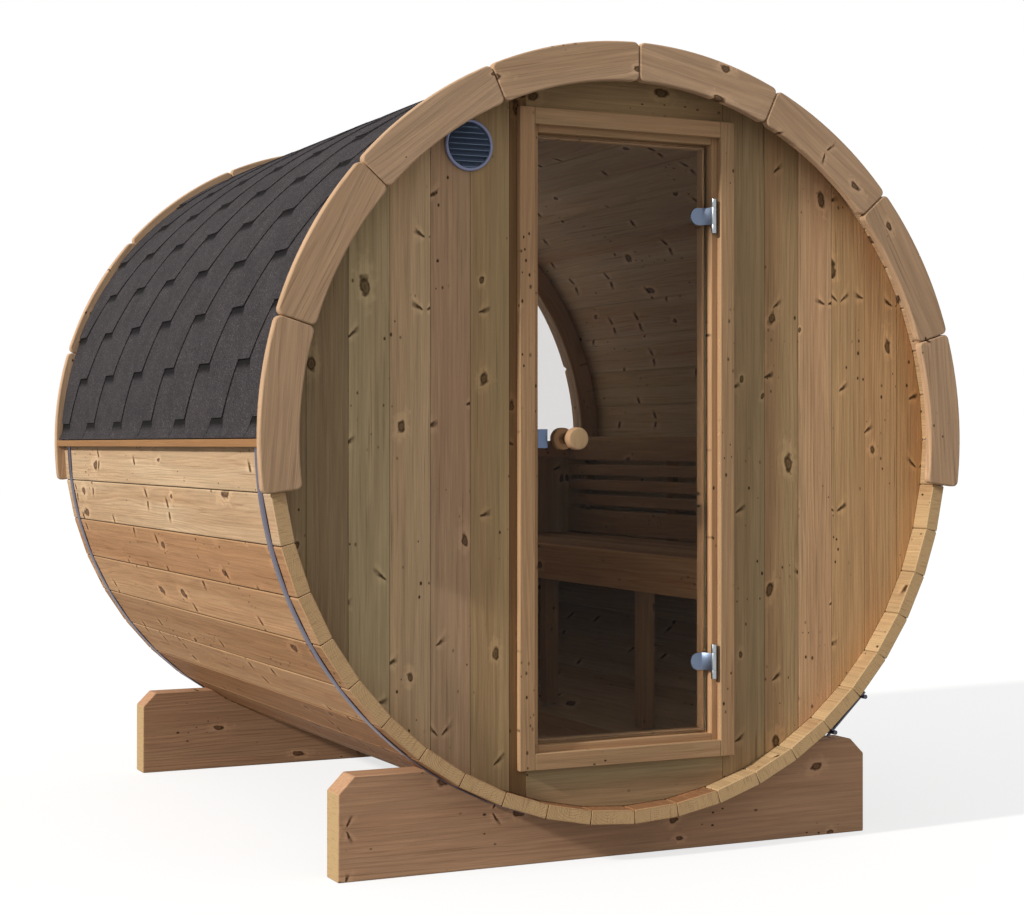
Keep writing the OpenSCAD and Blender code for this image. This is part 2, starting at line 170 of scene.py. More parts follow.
# a finish has these tones, and these numbers unless it says otherwise
toneNames = ("Pale", "Warm", "Ruddy", "Dark", "Knot", "End")
woodNumbers = {"Ring Pitch": 0.007, "Ring Contrast": 0.5, "Streak": 0.3, "Board Variety": 0.25, "Heart": 0.5,
               "Knot Share": 0.4, "Knot Size": 0.010, "Knot Pitch": 0.3, "Spike Share": 0.25,
               "Spike Fan": 0.05, "Spike Lean": 0.45, "Spike Half": 0.0020, "Pin Share": 0.3, "Joint": 0.0,
               "Wear": 0.3, "Roughness": 0.6}
# sizes that all finishes share, in metres, but for spikePitch, a share of the knots' own pitch
figure = {"knotRow": 0.105, "spikeRow": 0.118, "spikePitch": 0.83, "spikeClear": 0.003, "spikeFull": 0.009,
          "spikeStop": 0.034, "spikeEnd": 0.056, "pinPitch": 0.034, "pinRow": 0.022, "pinLeast": 0.0014,
          "pinMore": 0.0026, "heartHalf": 0.012, "heartEdge": 0.052, "endDeep": 0.0016, "wearDeep": 0.0060,
          "jointShadeDeep": 0.0014}
# noises drawn out along the grain: how fine along it and across it, detail and roughness
grains = {"waver": (1.4, 22.0, 3.0, 0.5), "fibre": (9.0, 420.0, 2.0, 0.6), "streak": (2.6, 110.0, 3.0, 0.65),
          "resin": (3.2, 150.0, 1.0, 0.5), "patch": (0.9, 17.0, 2.0, 0.5), "mottle": (3.0, 48.0, 3.0, 0.6),
          "cluster": (4.0, 9.0, 1.0, 0.5)}


def longNoise(tree, spot, name):
    along, across, detail, rough = grains[name]
    return noise(tree, scaled(tree, spot, along, across, across), detail, rough)


def scatterKnots(tree, parts, pitch, wide, push):
    # at most one knot to a cell: how far along and across from its middle, and three chances
    column = calc(tree, "DIVIDE", parts["X"], pitch)
    cell = put(tree, "CombineXYZ", {"X": column, "Y": fit(tree, parts["Y"], 1 / wide, push)}).outputs[0]
    cells = put(tree, "TexVoronoi", {"Vector": cell, "Scale": 1.0, "Randomness": 0.9},
                voronoi_dimensions="2D").outputs
    off = split(tree, vectorCalc(tree, "SUBTRACT", cell, cells["Position"]))
    return times(tree, off["X"], pitch), times(tree, off["Y"], wide), chances(tree, cells["Color"])


def ovalReach(tree, a, b):
    # how far out a point lies on an oval whose edge is at 1
    return calc(tree, "SQRT", plus(tree, times(tree, a, a), times(tree, b, b)))


def makeWoodGroup():
    tones = [(name, "Color", color(160, 130, 100)) for name in toneNames]
    numbers = [(name, "Float", value) for name, value in woodNumbers.items()]
    tree, given, out = newGroup("solidWood", tones + numbers)
    place, half, seed = (carried(tree, name) for name in ("boardPlace", "boardHalf", "boardSeed"))
    chance = put(tree, "TexWhiteNoise", {"Vector": seed}, noise_dimensions="3D").outputs
    draw = chances(tree, chance["Color"])
    spot = vectorCalc(tree, "ADD", place, scaled(tree, seed, 37.0, 11.0, 5.0))
    parts = split(tree, spot)
    jitter = noise(tree, spot, 2.0, 0.5, 90.0)
    jolt = minus(tree, jitter, 0.5)
    lump = noise(tree, spot, 1.0, 0.5, 60.0)

    # the pith wanders slowly along the board
    wander = noise(tree, scaled(tree, spot, 0.9, 5.0, 5.0), output="Color")
    drift = scaled(tree, vectorCalc(tree, "SUBTRACT", wander, (0.5, 0.5, 0.5)), 0.0, 0.05, 0.05)
    here = split(tree, vectorCalc(tree, "ADD", place, drift))
    across = plus(tree, here["Y"], fit(tree, draw[0], 0.11, -0.055))
    deep = plus(tree, here["Z"], fit(tree, draw[1], 0.06, 0.03))
    ringField = ovalReach(tree, across, deep)

    # round knots: a dark bark line, a ringed heart and pale wood round them
    along, side, dice = scatterKnots(tree, parts, given["Knot Pitch"], figure["knotRow"], 0.0)
    along = plus(tree, along, times(tree, side, fit(tree, dice[1], 1.2, -0.6)))
    size = times(tree, given["Knot Size"], fit(tree, dice[2], 0.9, 0.45))
    tail = fit(tree, calc(tree, "GREATER_THAN", along, 0.0), fit(tree, dice[1], -0.5, 0.1), 0.68)
    relative = calc(tree, "DIVIDE", ovalReach(tree, times(tree, along, tail), side), size)
    relative = plus(tree, times(tree, relative, fit(tree, lump, 1.2, 0.4)), times(tree, jolt, 0.3))
    there = calc(tree, "LESS_THAN", dice[0], given["Knot Share"])
    swell = calc(tree, "POWER", 2.718, times(tree, relative, relative, -0.30))
    ringField = plus(tree, ringField, times(tree, swell, there, times(tree, size, 1.1)))
    core = times(tree, there, fade(tree, relative, 0.62, 1.25))
    fromBark = calc(tree, "ABSOLUTE", minus(tree, relative, 0.78))
    bark = calc(tree, "SUBTRACT", 1.0, times(tree, 2.6, fromBark), clamp=True)
    bark = times(tree, there, bark, spread(tree, jitter, 0.32, 0.60, 0.3, 0.9))
    halo = times(tree, there, fade(tree, relative, 1.0, 3.0))

    # spike knots: a branch cut along its length, a slanted fan on one or both sides of the pith
    spikePitch = times(tree, given["Knot Pitch"], figure["spikePitch"])
    along, side, dice = scatterKnots(tree, parts, spikePitch, figure["spikeRow"], 3.37)
    apart = plus(tree, side, fit(tree, dice[1], 0.05, -0.025))
    bothSides = calc(tree, "GREATER_THAN", dice[2], 0.5)
    oneSide = calc(tree, "GREATER_THAN", apart, 0.0)
    apart = calc(tree, "ABSOLUTE", apart)
    lean = times(tree, apart, given["Spike Lean"], fit(tree, dice[1], 1.2, 0.4))
    along = minus(tree, plus(tree, along, times(tree, jolt, 0.006)), lean)
    spikeThick = fit(tree, apart, given["Spike Fan"], given["Spike Half"])
    spikeReach = calc(tree, "DIVIDE", calc(tree, "ABSOLUTE", along), spikeThick)
    spikeThere = times(tree, calc(tree, "LESS_THAN", dice[0], given["Spike Share"]),
                       fade(tree, fit(tree, lump, 0.03, apart), figure["spikeStop"], figure["spikeEnd"]),
                       spread(tree, apart, figure["spikeClear"], figure["spikeFull"]),
                       calc(tree, "MAXIMUM", bothSides, oneSide))
    spike = times(tree, spikeThere, fade(tree, spikeReach, 0.25, 1.45))
    spikeHalo = times(tree, spikeThere, fade(tree, spikeReach, 1.0, 5.0))

    # pin knots in loose clusters
    along, side, dice = scatterKnots(tree, parts, figure["pinPitch"], figure["pinRow"], 1.71)
    pinReach = calc(tree, "DIVIDE", ovalReach(tree, times(tree, along, 0.65), side),
                    fit(tree, dice[2], figure["pinMore"], figure["pinLeast"]))
    cluster = spread(tree, longNoise(tree, spot, "cluster"), 0.52, 0.62)
    pin = times(tree, calc(tree, "LESS_THAN", dice[0], given["Pin Share"]),
                fade(tree, pinReach, 0.55, 1.25), cluster)

    # growth rings, resin lines, fibres and slow changes of tone
    rings = calc(tree, "DIVIDE", ringField, given["Ring Pitch"])
    saw = calc(tree, "FRACT", plus(tree, rings, times(tree, longNoise(tree, spot, "waver"), 3.4)))
    late = times(tree, spread(tree, saw, 0.35, 0.88), fade(tree, saw, 0.90, 1.0))
    fibre = longNoise(tree, spot, "fibre")
    mottle = longNoise(tree, spot, "mottle")
    patchGain = times(tree, minus(tree, longNoise(tree, spot, "patch"), 0.5), 1.5)
    warmth = calc(tree, "ADD", fit(tree, draw[2], 0.9, 0.05), patchGain, clamp=True)
    tone = blend(tree, warmth, given["Pale"], given["Warm"])
    heartShare = fade(tree, calc(tree, "ABSOLUTE", across), figure["heartHalf"], figure["heartEdge"])
    heartShare = times(tree, heartShare, times(tree, given["Heart"], chance["Value"]))
    tone = blend(tree, heartShare, tone, given["Ruddy"])
    ringShare = times(tree, late, given["Ring Contrast"], spread(tree, mottle, 0.35, 0.62, 0.1, 1.0))
    tone = blend(tree, ringShare, tone, given["Dark"])
    resinShare = times(tree, spread(tree, longNoise(tree, spot, "resin"), 0.66, 0.76), given["Streak"])
    tone = blend(tree, resinShare, tone, given["Dark"])
    streak = fit(tree, longNoise(tree, spot, "streak"), 2.0, -1.0)
    gain = plus(tree, times(tree, streak, given["Streak"]),
                times(tree, minus(tree, draw[1], 0.5), given["Board Variety"]),
                fit(tree, fibre, 0.35, -0.175), fit(tree, mottle, 0.5, -0.25),
                times(tree, calc(tree, "MAXIMUM", halo, spikeHalo), 0.26), 1.0)
    tone = brighten(tree, tone, gain)

    knotRings = fit(tree, calc(tree, "SINE", times(tree, relative, 12.0)), 0.35, 0.45)
    heart = blend(tree, knotRings, given["Dark"], given["Knot"])
    tone = blend(tree, times(tree, core, 0.82), tone, heart)
    tone = blend(tree, times(tree, bark, 0.85), tone, given["Knot"])
    tone = blend(tree, times(tree, calc(tree, "MAXIMUM", spike, pin), 0.92), tone, given["Knot"])

    # sawn ends show the rings and fine rays
    inset = split(tree, vectorCalc(tree, "SUBTRACT", half, vectorCalc(tree, "ABSOLUTE", place)))
    rays = noise(tree, scaled(tree, spot, 0.0, 330.0, 24.0), 2.0)
    sawn = blend(tree, times(tree, late, 0.40), given["End"], given["Warm"])
    sawn = blend(tree, times(tree, spread(tree, rays, 0.52, 0.70), 0.30), sawn, given["Dark"])
    tone = blend(tree, fade(tree, inset["X"], 0.0004, figure["endDeep"]), tone, sawn)

    # wear on every edge, where two of the three distances to the board's faces are small,
    # then painted shade in the joints, darker along the board's sides
    lower = calc(tree, "MINIMUM", inset["X"], inset["Y"])
    upper = calc(tree, "MAXIMUM", inset["X"], inset["Y"])
    edge = calc(tree, "MAXIMUM", lower, calc(tree, "MINIMUM", upper, inset["Z"]))
    edge = plus(tree, edge, times(tree, jolt, 0.004))
    worn = times(tree, fade(tree, edge, 0.0012, figure["wearDeep"]), given["Wear"])
    tone = blend(tree, worn, tone, given["Pale"])
    jointShade = times(tree, fade(tree, inset["Y"], 0.0005, figure["jointShadeDeep"]), given["Joint"])
    tone = blend(tree, jointShade, tone, given["Knot"])

    plug(tree, out["Color"], tone)
    gloss = plus(tree, given["Roughness"], fit(tree, fibre, 0.2, -0.1))
    plug(tree, out["Roughness"], minus(tree, gloss, times(tree, core, 0.15)))
    relief = times(tree, plus(tree, late, fibre), 0.5)
    plug(tree, out["Height"], minus(tree, relief, times(tree, bark, 0.8)))
    return tree


woodGroup = makeWoodGroup()


def newMaterial(name):
    material = bpy.data.materials.new(name)
    material.use_nodes = True
    tree = material.node_tree
    return material, tree, tree.nodes["Principled BSDF"]


def addBump(tree, shader, height, distance, strength=1.0):
    bump = put(tree, "Bump", {"Strength": strength, "Distance": distance, "Height": height})
    tree.links.new(bump.outputs["Normal"], shader.inputs["Normal"])


def dress(name, shared, look, distance, strength=1.0):
    # a material whose colour, roughness and relief come from a shared node group
    material, tree, shader = newMaterial(name)
    found = put(tree, "Group", look, node_tree=shared).outputs
    tree.links.new(found["Color"], shader.inputs["Base Color"])
    tree.links.new(found["Roughness"], shader.inputs["Roughness"])
    addBump(tree, shader, found["Height"], distance, strength)
    return material, shader


def makeWood(name, tones, numbers):
    look = dict(numbers, **{label: color(*tone) for label, tone in zip(toneNames, tones)})
    material, shader = dress(name, woodGroup, look, 0.0006)
    shader.inputs["Specular IOR Level"].default_value = 0.01  # dry sawn wood hardly shines
    return material


# the tones, in the order of toneNames, and the numbers of each finish
woods = {
    "stave": (
        ((194, 170, 139), (176, 141, 107), (158, 118, 87), (92, 56, 32), (48, 26, 12), (204, 170, 126)),
        {"Ring Pitch": 0.006, "Ring Contrast": 0.3, "Streak": 0.34, "Board Variety": 0.16, "Heart": 0.8,
         "Knot Share": 0.3, "Knot Size": 0.0115, "Knot Pitch": 0.26, "Spike Share": 0.42, "Spike Fan": 0.06,
         "Spike Lean": 0.35, "Spike Half": 0.009, "Joint": 0.85, "Wear": 0.5}),
    "wall": (
        ((158, 143, 108), (160, 134, 102), (154, 118, 88), (98, 76, 50), (56, 37, 23), (190, 158, 116)),
        {"Ring Pitch": 0.0085, "Ring Contrast": 0.12, "Streak": 0.38, "Board Variety": 0.14, "Heart": 0.6,
         "Knot Share": 0.45, "Knot Size": 0.0095, "Knot Pitch": 0.34, "Spike Share": 0.6, "Spike Fan": 0.2,
         "Spike Lean": 0.6, "Joint": 0.25, "Wear": 0.0}),
    "arch": (
        ((194, 162, 132), (180, 148, 117), (174, 138, 107), (104, 76, 54), (56, 36, 22), (196, 164, 126)),
        {"Ring Pitch": 0.011, "Ring Contrast": 0.18, "Streak": 0.34, "Board Variety": 0.08, "Heart": 0.4,
         "Knot Share": 0.3, "Knot Size": 0.007, "Knot Pitch": 0.2, "Spike Share": 0.1, "Spike Fan": 0.1,
         "Pin Share": 0.15}),
    "casing": (
        ((174, 144, 110), (180, 139, 103), (174, 129, 94), (124, 90, 58), (48, 29, 16), (200, 164, 116)),
        {"Ring Pitch": 0.009, "Ring Contrast": 0.3, "Board Variety": 0.08, "Heart": 0.4, "Knot Share": 0.2,
         "Knot Size": 0.006, "Knot Pitch": 0.22, "Spike Share": 0.0, "Spike Fan": 0.08, "Pin Share": 0.6}),
    "cradle": (
        ((188, 151, 119), (178, 137, 107), (166, 122, 92), (108, 74, 50), (50, 32, 20), (180, 154, 112)),
        {"Ring Pitch": 0.013, "Ring Contrast": 0.18, "Streak": 0.28, "Board Variety": 0.08,
         "Knot Size": 0.009, "Knot Pitch": 0.24, "Spike Share": 0.15, "Spike Fan": 0.12, "Pin Share": 0.25}),
    # the inside's tones are darkened for the dim interior: painted shade over the wood's own tone
    "inside": (
        ((164, 130, 92), (148, 110, 74), (140, 98, 66), (112, 76, 46), (46, 28, 16), (186, 150, 108)),
        {"Ring Pitch": 0.01, "Ring Contrast": 0.4, "Streak": 0.26, "Board Variety": 0.15, "Knot Size": 0.009,
         "Wear": 0.2}),
    "batten": (
        ((152, 116, 80), (144, 106, 72), (142, 102, 68), (124, 84, 54), (84, 52, 32), (190, 152, 108)),
        {"Ring Pitch": 0.006, "Ring Contrast": 0.3, "Streak": 0.2, "Board Variety": 0.05, "Knot Share": 0.3,
         "Knot Size": 0.004, "Knot Pitch": 0.25, "Spike Share": 0.0}),
    "knob": (
        ((186, 150, 116), (174, 136, 104), (162, 120, 90), (134, 98, 66), (90, 60, 40), (190, 160, 122)),
        {"Ring Pitch": 0.004, "Ring Contrast": 0.35, "Streak": 0.1, "Board Variety": 0.0, "Knot Share": 0.0,
         "Spike Share": 0.0, "Pin Share": 0.0, "Roughness": 0.45}),
}
# boards of the same wood that differ in their first three tones
shades = {
    # painted light: the lower staves' darker copies are painted shade, the right-hand copy painted sunlight
    "halfShadedStave": ("stave", (184, 148, 112), (160, 121, 87), (144, 103, 72)),
    "lowStave": ("stave", (164, 126, 92), (142, 101, 70), (132, 89, 61)),
    "sunlitRimStave": ("stave", (190, 162, 122), (172, 141, 104), (158, 124, 89)),
    "fascia": ("inside", (200, 158, 108), (182, 136, 92), (172, 122, 82)),
    # the wall's copies give boards their own differing tones; on the front wall they also carry painted
    # light, the greyer ones painted shade, the sunny, tan and warm ones painted sunlight
    "greyWall": ("wall", (148, 130, 100), (140, 116, 88), (134, 104, 76)),
    "mossWall": ("wall", (162, 140, 106), (156, 128, 94), (146, 114, 82)),
    "oliveWall": ("wall", (178, 160, 122), (174, 150, 116), (166, 136, 104)),
    "sandWall": ("wall", (200, 174, 134), (196, 165, 129), (188, 151, 116)),
    "pinkWall": ("wall", (176, 150, 118), (175, 141, 112), (167, 126, 98)),
    "brownWall": ("wall", (168, 146, 108), (166, 136, 100), (156, 118, 86)),
    "darkWall": ("wall", (132, 106, 74), (126, 96, 66), (118, 84, 58)),
    "sunnyWall": ("wall", (204, 168, 128), (200, 156, 118), (190, 142, 106)),
    "tanWall": ("wall", (200, 164, 120), (196, 154, 110), (188, 140, 98)),
    "warmWall": ("wall", (196, 158, 112), (190, 146, 102), (184, 134, 92)),
}
for name, (base, *tones) in shades.items():
    baseTones, numbers = woods[base]
    woods[name] = ((*tones, *baseTones[3:]), numbers)
wood = {name: makeWood(name + "Wood", *look) for name, look in woods.items()}
print("wood finishes made")


# Metal, shingle and glass finishes

def makeSteelGroup():
    # fine brushing, smears and small scratches, read from the piece's own place
    tree, given, out = newGroup("brushedSteel", [
        ("Tint", "Color", color(150, 155, 170)),
        ("Roughness", "Float", 0.35),
        ("Brush", "Vector", (40.0, 40.0, 900.0)),
        ("Smear", "Float", 0.25),
    ])
    place = put(tree, "TexCoord").outputs["Object"]
    brushing = noise(tree, vectorCalc(tree, "MULTIPLY", place, given["Brush"]), 2.0, 0.6)
    smear = noise(tree, place, 3.0, 0.6, 14.0)
    gain = times(tree, minus(tree, smear, 0.5), given["Smear"])
    gain = plus(tree, gain, fit(tree, brushing, 0.16, 0.92))
    plug(tree, out["Color"], brighten(tree, given["Tint"], gain))
    plug(tree, out["Roughness"], plus(tree, given["Roughness"], fit(tree, smear, 0.3, -0.15)))
    plug(tree, out["Height"], brushing)
    return tree


steelGroup = makeSteelGroup()
metals = {
    "band": {"Tint": color(96, 91, 106), "Roughness": 0.45, "Brush": (900.0, 30.0, 30.0), "Smear": 0.35},
    "clamp": {"Tint": color(106, 118, 138), "Roughness": 0.36, "Brush": (60.0, 60.0, 500.0), "Smear": 0.2},
    "knuckle": {"Tint": color(160, 166, 170), "Roughness": 0.30, "Brush": (60.0, 60.0, 500.0), "Smear": 0.2},
    "latch": {"Tint": color(94, 108, 132), "Roughness": 0.42, "Brush": (500.0, 60.0, 40.0), "Smear": 0.2},
    "rod": {"Tint": color(84, 84, 94), "Roughness": 0.5, "Brush": (200.0, 200.0, 200.0), "Smear": 0.4},
    "ventRim": {"Tint": color(136, 142, 174), "Roughness": 0.5, "Brush": (30.0, 30.0, 30.0), "Smear": 0.15},
    "ventLip": {"Tint": color(110, 132, 158), "Roughness": 0.5, "Brush": (30.0, 30.0, 30.0), "Smear": 0.15},
    # the louvres' and the disc's dark tint is painted shade of the vent's hollow
    "ventShade": {"Tint": color(62, 75, 96), "Roughness": 0.6, "Brush": (30.0, 30.0, 30.0), "Smear": 0.15},
}


def makeSteel(name, look, metallic):
    material, shader = dress(name, steelGroup, look, 0.0001, 0.5)
    shader.inputs["Metallic"].default_value = metallic
    return material


metal = {name: makeSteel(name + "Metal", look, 0.1 if name.startswith("vent") else 1.0)
         for name, look in metals.items()}


shingle = {"granule": 420.0, "fine": 160.0, "cloud": 9.0, "paleAbove": 0.94, "paleShare": 0.45,
           "tabShadowShare": 0.85, "shine": 0.03, "relief": 0.0008}


def makeShingles():
    # stone granules of mixed greys, with painted shadow as a darker band under the tabs of the row above
    material, tree, shader = newMaterial("shingles")
    place = carried(tree, "shingle")
    values = {"Vector": place, "Scale": shingle["granule"]}
    granules = put(tree, "TexVoronoi", values, voronoi_dimensions="3D").outputs
    draw = chances(tree, granules["Color"])
    fine = noise(tree, place, 3.0, 0.7, shingle["fine"])
    tone = blend(tree, draw[0], color(44, 41, 43), color(70, 66, 68))
    paleShare = times(tree, calc(tree, "GREATER_THAN", draw[1], shingle["paleAbove"]), shingle["paleShare"])
    tone = blend(tree, paleShare, tone, color(112, 107, 104))
    cloudy = spread(tree, noise(tree, place, 4.0, 0.65, shingle["cloud"]), 0.3, 0.7, 0.86, 1.12)
    tone = brighten(tree, tone, times(tree, cloudy, fit(tree, fine, 0.5, 0.75)))
    under = 2 * roof["exposure"]
    # painted shadow of the tabs above, dark just under their lower edge
    band = spread(tree, split(tree, place)["Y"], under - roof["shade"], under - roof["shade"] * 0.3)
    tone = blend(tree, times(tree, band, shingle["tabShadowShare"]), tone, color(19, 17, 18))
    plug(tree, shader.inputs["Base Color"], tone)
    plug(tree, shader.inputs["Roughness"], fit(tree, fine, 0.2, 0.75))
    shader.inputs["Specular IOR Level"].default_value = shingle["shine"]
    addBump(tree, shader, minus(tree, fine, granules["Distance"]), shingle["relief"], 0.8)
    return material


glass = {"bend": 1.14, "film": 3.0, "haze": 0.012, "grind": 220.0}


def makeGlass(name, tint, passed):
    # clear glass that lets the lamps' light through to what stands behind it
    material, tree, shader = newMaterial(name)
    shader.inputs["Base Color"].default_value = tint
    shader.inputs["Transmission Weight"].default_value = 1.0
    shader.inputs["IOR"].default_value = glass["bend"]
    # the faint film on a handled pane
    film = noise(tree, put(tree, "TexCoord").outputs["Object"], 3.0, 0.6, glass["film"])
    plug(tree, shader.inputs["Roughness"], spread(tree, film, 0.5, 0.9, 0.0, glass["haze"]))
    clear = put(tree, "BsdfTransparent", {"Color": passed})
    both = put(tree, "MixShader")
    tree.links.new(put(tree, "LightPath").outputs["Is Shadow Ray"], both.inputs[0])
    tree.links.new(shader.outputs["BSDF"], both.inputs[1])
    tree.links.new(clear.outputs[0], both.inputs[2])
    tree.links.new(both.outputs[0], tree.nodes["Material Output"].inputs["Surface"])
    return material


def makeGlassEdge():
    # the pane's ground edge, dull and greenish
    material, tree, shader = newMaterial("glassEdge")
    speckle = noise(tree, put(tree, "TexCoord").outputs["Object"], 2.0, 0.6, glass["grind"])
    plug(tree, shader.inputs["Base Color"], blend(tree, speckle, color(58, 62, 52), color(84, 86, 70)))
    plug(tree, shader.inputs["Roughness"], fit(tree, speckle, 0.2, 0.4))
    return material


doorGlass = makeGlass("doorGlass", color(228, 225, 221), color(176, 172, 166))
windowGlass = makeGlass("windowGlass", color(246, 247, 250), color(225, 225, 225))
glassEdge = makeGlassEdge()


# Boards made from the frame's solids

sharpAngle = math.radians(28)  # edges turning by more than this are rounded


def islandsOf(bm):
    seen, found = set(), []
    for start in bm.verts:
        if start in seen:
            continue
        group, reach = [], [start]
        seen.add(start)
        while reach:
            vert = reach.pop()
            group.append(vert)
            for edge in vert.link_edges:
                other = edge.other_vert(vert)
                if other not in seen:
                    seen.add(other)
                    reach.append(other)
        found.append(group)
    return found


def solidOf(node):
    # the node's mesh with its loose triangles joined to flat faces
    bm = bmesh.new()
    bm.from_mesh(nodes[node].data)
    bmesh.ops.remove_doubles(bm, verts=bm.verts, dist=2e-5)
    bmesh.ops.dissolve_limit(bm, angle_limit=math.radians(0.4), verts=bm.verts, edges=bm.edges,
                             use_dissolve_boundaries=False)
    return bm


def roundEdges(bm, width, segments=2):
    edges = [e for e in bm.edges if e.is_manifold and e.calc_face_angle(0.0) > sharpAngle]
    made = bmesh.ops.bevel(bm, geom=edges, offset=width, offset_type="OFFSET", segments=segments, profile=0.5,
                           affect="EDGES", clamp_overlap=True, material=-1)
    for face in made["faces"]:
        face.smooth = True


def faceOut(bm):
    bmesh.ops.recalc_face_normals(bm, faces=bm.faces)


def spanOf(points):
    low = Vector([min(p[i] for p in points) for i in range(3)])
    high = Vector([max(p[i] for p in points) for i in range(3)])
    return low, high


def middleOf(verts):
    low, high = spanOf([v.co for v in verts])
    return (low + high) / 2


def boxAxes(verts):
    # length along the longest side, thickness along the shortest
    low, high = spanOf([v.co for v in verts])
    order = sorted(range(3), key=lambda i: low[i] - high[i])
    return [(xAxis, yAxis, zAxis)[i] for i in order]


def staveAxes(verts):
    out = middleOf(verts)
    out = Vector((out.x, 0, out.z - axisZ)).normalized()
    return [yAxis, yAxis.cross(out), out]


def archAxes(verts):
    total = sum((v.co for v in verts), Vector()) / len(verts)
    out = Vector((total.x, 0, total.z - axisZ)).normalized()
    return [yAxis.cross(out), out, yAxis]


# fixed ways: along the grain, across it, through the board
uprightAxes = (zAxis, xAxis, yAxis)
levelAxes = (xAxis, zAxis, yAxis)
turnedAxes = (yAxis, xAxis, zAxis)


def boardLayers(bm):
    layers = bm.verts.layers.float_vector
    return [layers.new(name) for name in ("boardPlace", "boardHalf", "boardSeed")]


def markBoards(bm, grain, name):
    # each board carries its own place along the grain, its half sizes and its own chance
    place, halfSize, seed = boardLayers(bm)
    chance = random.Random(name)
    groups = islandsOf(bm)
    groups.sort(key=lambda verts: tuple(round(c, 3) for c in middleOf(verts)))
    for verts in groups:
        axes = grain(verts) if callable(grain) else grain
        local = [Vector([v.co.dot(axis) for axis in axes]) for v in verts]
        low, high = spanOf(local)
        own = Vector((chance.random(), chance.random(), chance.random()))
        for vert, point in zip(verts, local):
            vert[place] = point - (low + high) / 2
            vert[halfSize] = (high - low) / 2
            vert[seed] = own


def meshOf(bm, name):
    mesh = bpy.data.meshes.new(name)
    bm.to_mesh(mesh)
    bm.free()
    return mesh


def addObject(name, data):
    made = bpy.data.objects.new(name, data)
    bpy.context.scene.collection.objects.link(made)
    return made


def keepPiece(bm, name, body, slotName, material, *replaced):
    mesh = meshOf(bm, name)
    mesh.materials.append(material)
    piece = addObject(name, mesh)
    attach(piece, body)
    if replaced:
        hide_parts(*replaced)
    return piece


def joinInto(whole, bm):
    part = meshOf(bm, "part")
    whole.from_mesh(part)
    bpy.data.meshes.remove(part)


def addBoards(node, finish, slotName, grain=boxAxes, width=0.002, segments=2):
    bm = solidOf(node)
    roundEdges(bm, width, segments)
    markBoards(bm, grain, node)
    keepPiece(bm, node + "_boards", "cabin", slotName, wood[finish], node)


# staves are darker towards the ground, painted shade; on the right, where the inner faces show at the rim, a
# paler copy paints sunlight
staves = {"halfShade": -0.2, "low": -0.6, "round": 0.0026}
for node in sorted(n for n in nodes if n.startswith("staves_")):
    low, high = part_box(node)
    level = ((low.z + high.z) / 2 - axisZ) / barrelRadius
    finish = "stave" if level > staves["halfShade"] else "halfShadedStave" if level > staves["low"] else "lowStave"
    if level < 0 and low.x > 0:
        finish = "sunlitRimStave"
    addBoards(node, finish, "stave_wood", staveAxes, staves["round"])
print("staves made")

boardRound = {"arch": 0.004, "cradle": 0.003, "trim": 0.002, "sill": 0.003, "bench": 0.003}
for node in ("front_arch_left", "front_arch_right", "rear_arch_left", "rear_arch_right"):
    addBoards(node, "arch", "trim_wood", archAxes, boardRound["arch"], 3)
for node in ("cradle_front", "cradle_rear"):
    addBoards(node, "cradle", "cradle_wood", levelAxes, boardRound["cradle"])
addBoards("eave_battens", "batten", "trim_wood", boxAxes, boardRound["trim"])
for node in ("door_casing", "door_frame", "door_stops"):
    addBoards(node, "casing", "trim_wood", boxAxes, boardRound["trim"])
addBoards("rear_window_sill", "casing", "trim_wood", levelAxes, boardRound["sill"])
for node in ("floor_joists", "floor_boards", "bench_legs", "bench_bearers", "bench_seat", "bench_fascia",
             "bench_backrest", "backrest_posts"):
    finish = "fascia" if node == "bench_fascia" else "inside"
    addBoards(node, finish, "interior_wood", boxAxes, boardRound["bench"])
print("trim, cradles and bench made")


# End walls, cut into boards with grooved joints

walls = {"board": 0.1096, "firstJoint": 0.4346, "leftJoint": -0.3322, "groove": 0.0018, "least": 0.001}


def bisect(bm, spot, normal, cutOff=False):
    geometry = bm.verts[:] + bm.edges[:] + bm.faces[:]
    return bmesh.ops.bisect_plane(bm, geom=geometry, dist=1e-6, plane_co=spot, plane_no=normal,
                                  clear_outer=cutOff)


def sliceSolid(bm, spot, normal):
    # keeps what lies behind the plane and closes the cut
    made = bisect(bm, spot, normal, True)
    cut = [g for g in made["geom_cut"] if isinstance(g, bmesh.types.BMEdge)]
    if cut:
        bmesh.ops.holes_fill(bm, edges=cut, sides=0)


def addWall(node, joints, finishes=("wall",), upright=True):
    # finishes go to the boards in turn, from the left, and the last one to what is left
    across = xAxis if upright else zAxis
    low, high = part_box(node)
    first, last = low.dot(across), high.dot(across)
    ends = [first - 1] + sorted(joints) + [last + 1]
    whole = bmesh.new()
    count = 0
    for start, end in zip(ends, ends[1:]):
        if end < first + walls["least"] or start > last - walls["least"]:
            continue
        board = solidOf(node)
        sliceSolid(board, across * end, across)
        sliceSolid(board, across * start, -across)
        roundEdges(board, walls["groove"])
        for face in board.faces:
            face.material_index = min(count, len(finishes) - 1)
        joinInto(whole, board)
        count += 1
    markBoards(whole, uprightAxes if upright else levelAxes, node)
    piece = keepPiece(whole, node + "_boards", "cabin", "wall_wood", wood[finishes[0]], node)
    for finish in finishes[1:]:
        piece.data.materials.append(wood[finish])


pitch = walls["board"]
